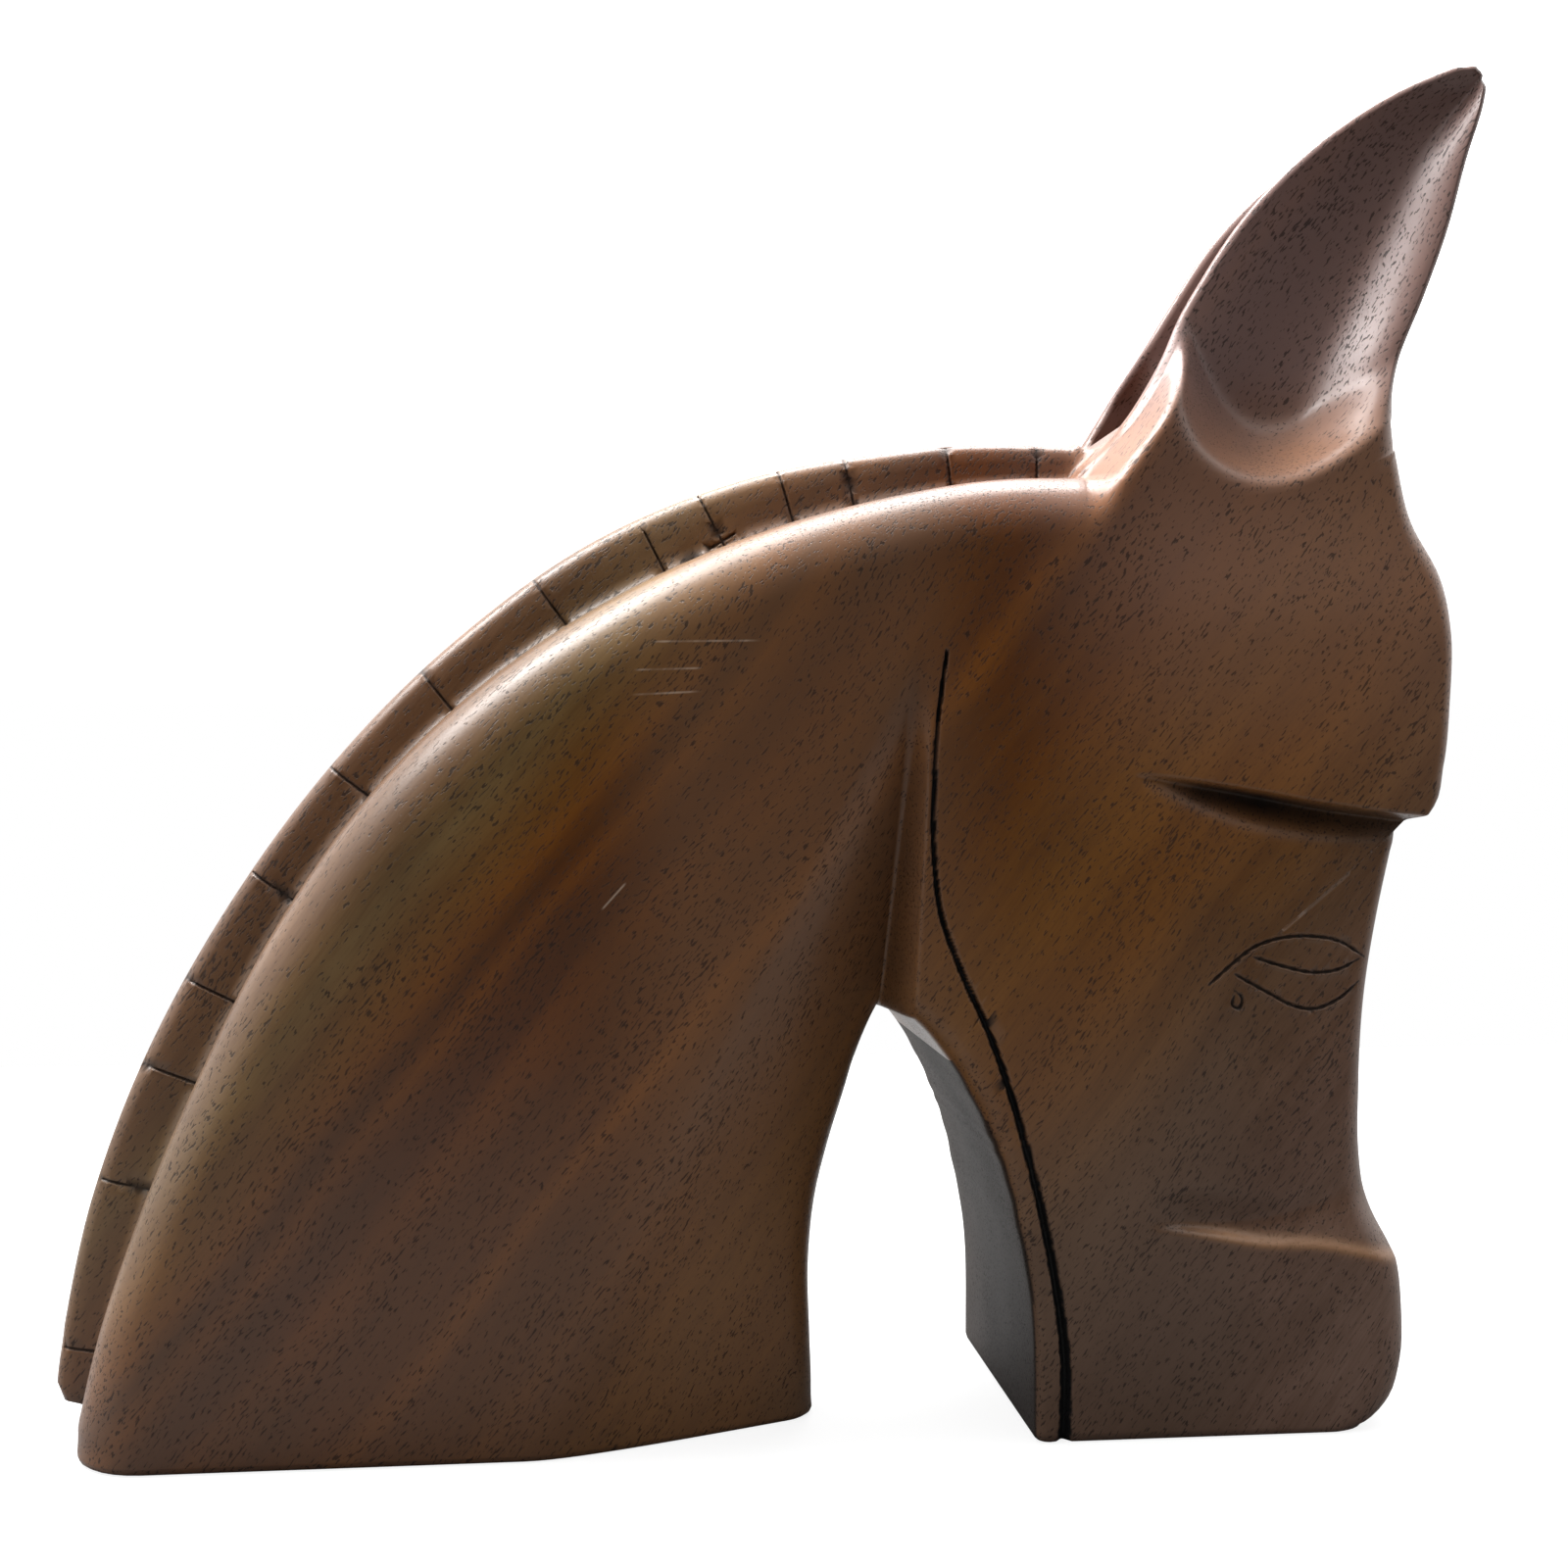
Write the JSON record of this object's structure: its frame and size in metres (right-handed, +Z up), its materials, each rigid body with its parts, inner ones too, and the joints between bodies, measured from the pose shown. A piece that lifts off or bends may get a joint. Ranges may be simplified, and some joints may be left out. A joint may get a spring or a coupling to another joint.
{
  "type": "horse head sculpture",
  "caption": "Stylised horse head carved from one thick board of hardwood, standing on its neck and muzzle.",
  "frame": {"origin": "centre of the bounding box in plan, on the level of the two flat feet", "axes": "+X toward the muzzle, +Y to the horse's left side, +Z up"},
  "size_m": [0.2552, 0.062, 0.2435],
  "materials": {
    "hardwood": "satin wax polish over straight grain"
  },
  "bodies": {
    "root": {"horse_head": "hardwood"}
  },
  "joints": []
}
